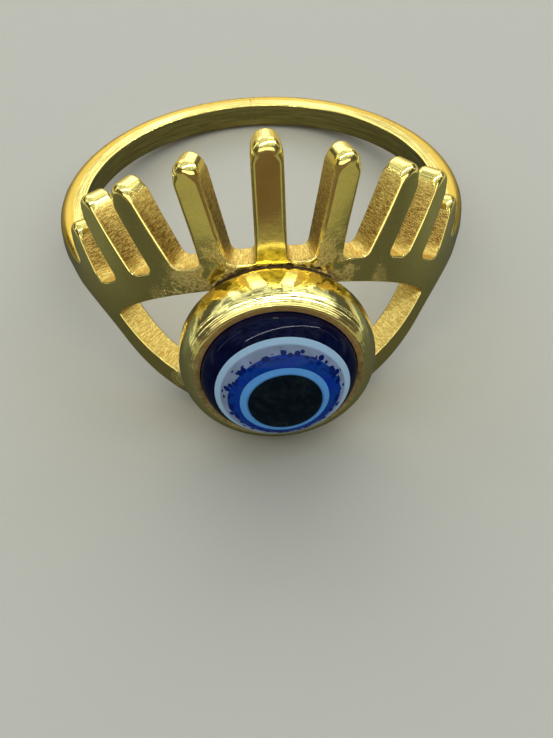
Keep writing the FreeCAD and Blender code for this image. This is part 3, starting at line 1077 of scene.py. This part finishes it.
# Zones of the floor as the metal mirrors it, as (start, end) in millimetres: across is the distance to
# either side, along is the distance behind the finger's axis, negative in front
BESIDE_ACROSS = (11.0, 17.0)
BESIDE_ALONG = (-12.0, -4.0)
LIGHT_ALONG = (-23.5, -26.0)
BROWN_PATCH_ALONG = (-31.0, -34.0)
BROWN_PATCH_ACROSS = (7.0, 10.0)
BROWN_ALONG = (-38.0, -48.0)
WARM_ALONG = (7.0, 12.0)
PALE_ALONG = (14.0, 20.0)  # in front and behind
PALE_STARTS_ACROSS = (30.0, 34.0)
PALE_ENDS_ACROSS = (60.0, 80.0)

# Heights between which the ceiling starts (0 is level, 1 straight up), and the noise between which its
# bright patches start
CEILING_STARTS = (0.38, 0.50)
CEILING_PATCHES = (0.46, 0.51)

# Name, size and place in metres, radiance, colour
LAMPS = [
    ("back_ceiling", (0.70, 0.24), (0.0, 0.33, 0.366), 1.8, (1.0, 0.98, 0.90)),
    ("back_lower", (0.70, 0.11), (0.0, 0.435, 0.231), 0.75, (1.0, 0.97, 0.86)),
    ("back_wall", (0.90, 0.08), (0.0, 0.52, 0.16), 0.9, (1.0, 0.80, 0.42)),
    ("left_lamp", (0.022, 0.10), (-0.033, 0.42, 0.235), 2.5, (1.0, 1.0, 0.95)),
    ("right_lamp", (0.022, 0.10), (0.040, 0.42, 0.235), 2.5, (1.0, 1.0, 0.95)),
    ("left_strip", (0.020, 0.36), (-0.43, 0.02, 0.20), 4.5, (1.0, 0.98, 0.88)),
    ("right_strip", (0.020, 0.36), (0.43, 0.03, 0.20), 2.6, (0.96, 1.0, 0.92)),
    ("tube", (1.00, 0.010), (0.06, -0.14, 0.35), 80.0, (0.96, 0.98, 1.0)),
    ("front_window", (0.80, 0.20), (0.0, -0.45, 0.06), 2.0, (1.0, 0.98, 0.86)),
]
HIGHLIGHTS_ONLY = ("tube", "front_window")


def floor_paint(tree, shader):
    """Pale to the camera. The metal mirrors it dim by the ring, light and then brown in front, warm behind
    and paler outwards on both sides."""
    x, y, _ = split(tree, millimetres(tree))
    across = calc(tree, "ABSOLUTE", x)
    beside = times(tree, between(tree, across, *BESIDE_ACROSS), between(tree, y, *BESIDE_ALONG))
    mirrored = blend(tree, beside, SHADE_IN_METAL, SIDE_IN_METAL)
    mirrored = blend(tree, between(tree, y, *LIGHT_ALONG), mirrored, LIGHT_IN_METAL)
    patch = between(tree, across, *BROWN_PATCH_ACROSS, 1.0, 0.0)
    patch = times(tree, between(tree, y, *BROWN_PATCH_ALONG), patch)
    brown = calc(tree, "MAXIMUM", patch, between(tree, y, *BROWN_ALONG))
    mirrored = blend(tree, brown, mirrored, BROWN_IN_METAL)
    mirrored = blend(tree, between(tree, y, *WARM_ALONG), mirrored, WARM_IN_METAL)
    level = between(tree, calc(tree, "ABSOLUTE", y), *PALE_ALONG, 1.0, 0.0)
    ends = between(tree, across, *PALE_ENDS_ACROSS, 1.0, 0.0)
    pale = times(tree, level, between(tree, across, *PALE_STARTS_ACROSS), ends)
    mirrored = blend(tree, pale, mirrored, PALE_IN_METAL)
    glossy = add(tree, "LightPath").outputs["Is Glossy Ray"]
    connect(tree, shader, Base_Color=blend(tree, glossy, FLOOR_COLOUR, mirrored), Roughness=0.8)


def make_floor():
    """The ring lies on its lower lid and on the back of the shank, so the floor is tilted in its frame."""
    rise = (EYE_Z - BAND_LOW[2]) * MM
    front = BAND_LOW[1] * MM
    back = (BAND_HIGH[1] - OUTER_EDGE - ON_SHANK) * MM
    tilt = math.atan2(rise, back - front)
    half = FLOOR_SIZE / 2
    mesh = bpy.data.meshes.new("floor")
    corners = [(-half, -half, 0), (half, -half, 0), (half, half, 0), (-half, half, 0)]
    mesh.from_pydata(corners, [], [(0, 1, 2, 3)])
    floor = linked("floor", mesh)
    floor.data.materials.append(material("floor", floor_paint))
    floor.matrix_world = Matrix.Translation((0, back, EYE_Z * MM)) @ Matrix.Rotation(tilt, 4, "X")


def make_light(name, size, where, radiance, colour):
    """A rectangular lamp aimed at the ring and hidden from the camera."""
    lamp = bpy.data.lights.new(name, "AREA")
    lamp.shape = "RECTANGLE"
    lamp.size, lamp.size_y = size
    lamp.energy = radiance * math.pi * size[0] * size[1]
    lamp.color = colour
    made = linked(name, lamp)
    made.location = where
    made.rotation_euler = (-Vector(where)).to_track_quat("-Z", "Y").to_euler()
    made.visible_camera = False
    made.visible_diffuse = name not in HIGHLIGHTS_ONLY


def make_lights():
    """A bright wall behind the ring, narrow strips beside it, and a tube and a window in front."""
    for lamp in LAMPS:
        make_light(*lamp)


def make_world():
    """A plain pale backdrop to the camera. The ring is lit by a dim room under a patchy bright ceiling."""
    world = bpy.data.worlds.new("studio")
    bpy.context.scene.world = world
    world.use_nodes = True
    tree = world.node_tree
    direction = add(tree, "TexCoord").outputs["Generated"]
    height = split(tree, direction)[2]
    patches = between(tree, noise(tree, direction, 7.0, 2.0, 0.5), *CEILING_PATCHES, 0.10, 1.0)
    lit = times(tree, patches, between(tree, height, *CEILING_STARTS))
    mirrored = blend(tree, lit, ROOM, CEILING)
    seen = add(tree, "LightPath").outputs["Is Camera Ray"]
    tree.links.new(blend(tree, seen, mirrored, BACKDROP), tree.nodes["Background"].inputs["Color"])


CAMERA_AT = Vector((-1.61, -48.34, 32.48)) * MM
CAMERA_BACK = Vector((-0.0308, -0.7367, 0.6756))
CAMERA_ROLL = math.radians(-2.68)
CAMERA_LENS = 53.7


def make_camera():
    """The photo's camera: above the front, looking down at the eye."""
    camera = bpy.data.cameras.new("camera")
    camera.lens = CAMERA_LENS
    camera.sensor_width = 36
    camera.clip_start = 0.001
    made = linked("camera", camera)
    back = CAMERA_BACK.normalized()
    right = UP.cross(back).normalized()
    up = back.cross(right)
    level = Matrix((right, up, back)).transposed().to_4x4()
    made.matrix_world = Matrix.Translation(CAMERA_AT) @ level @ Matrix.Rotation(CAMERA_ROLL, 4, "Z")
    bpy.context.scene.camera = made


bpy.context.scene.view_settings.view_transform = "Standard"
build_object()
make_floor()
make_lights()
make_world()
make_camera()
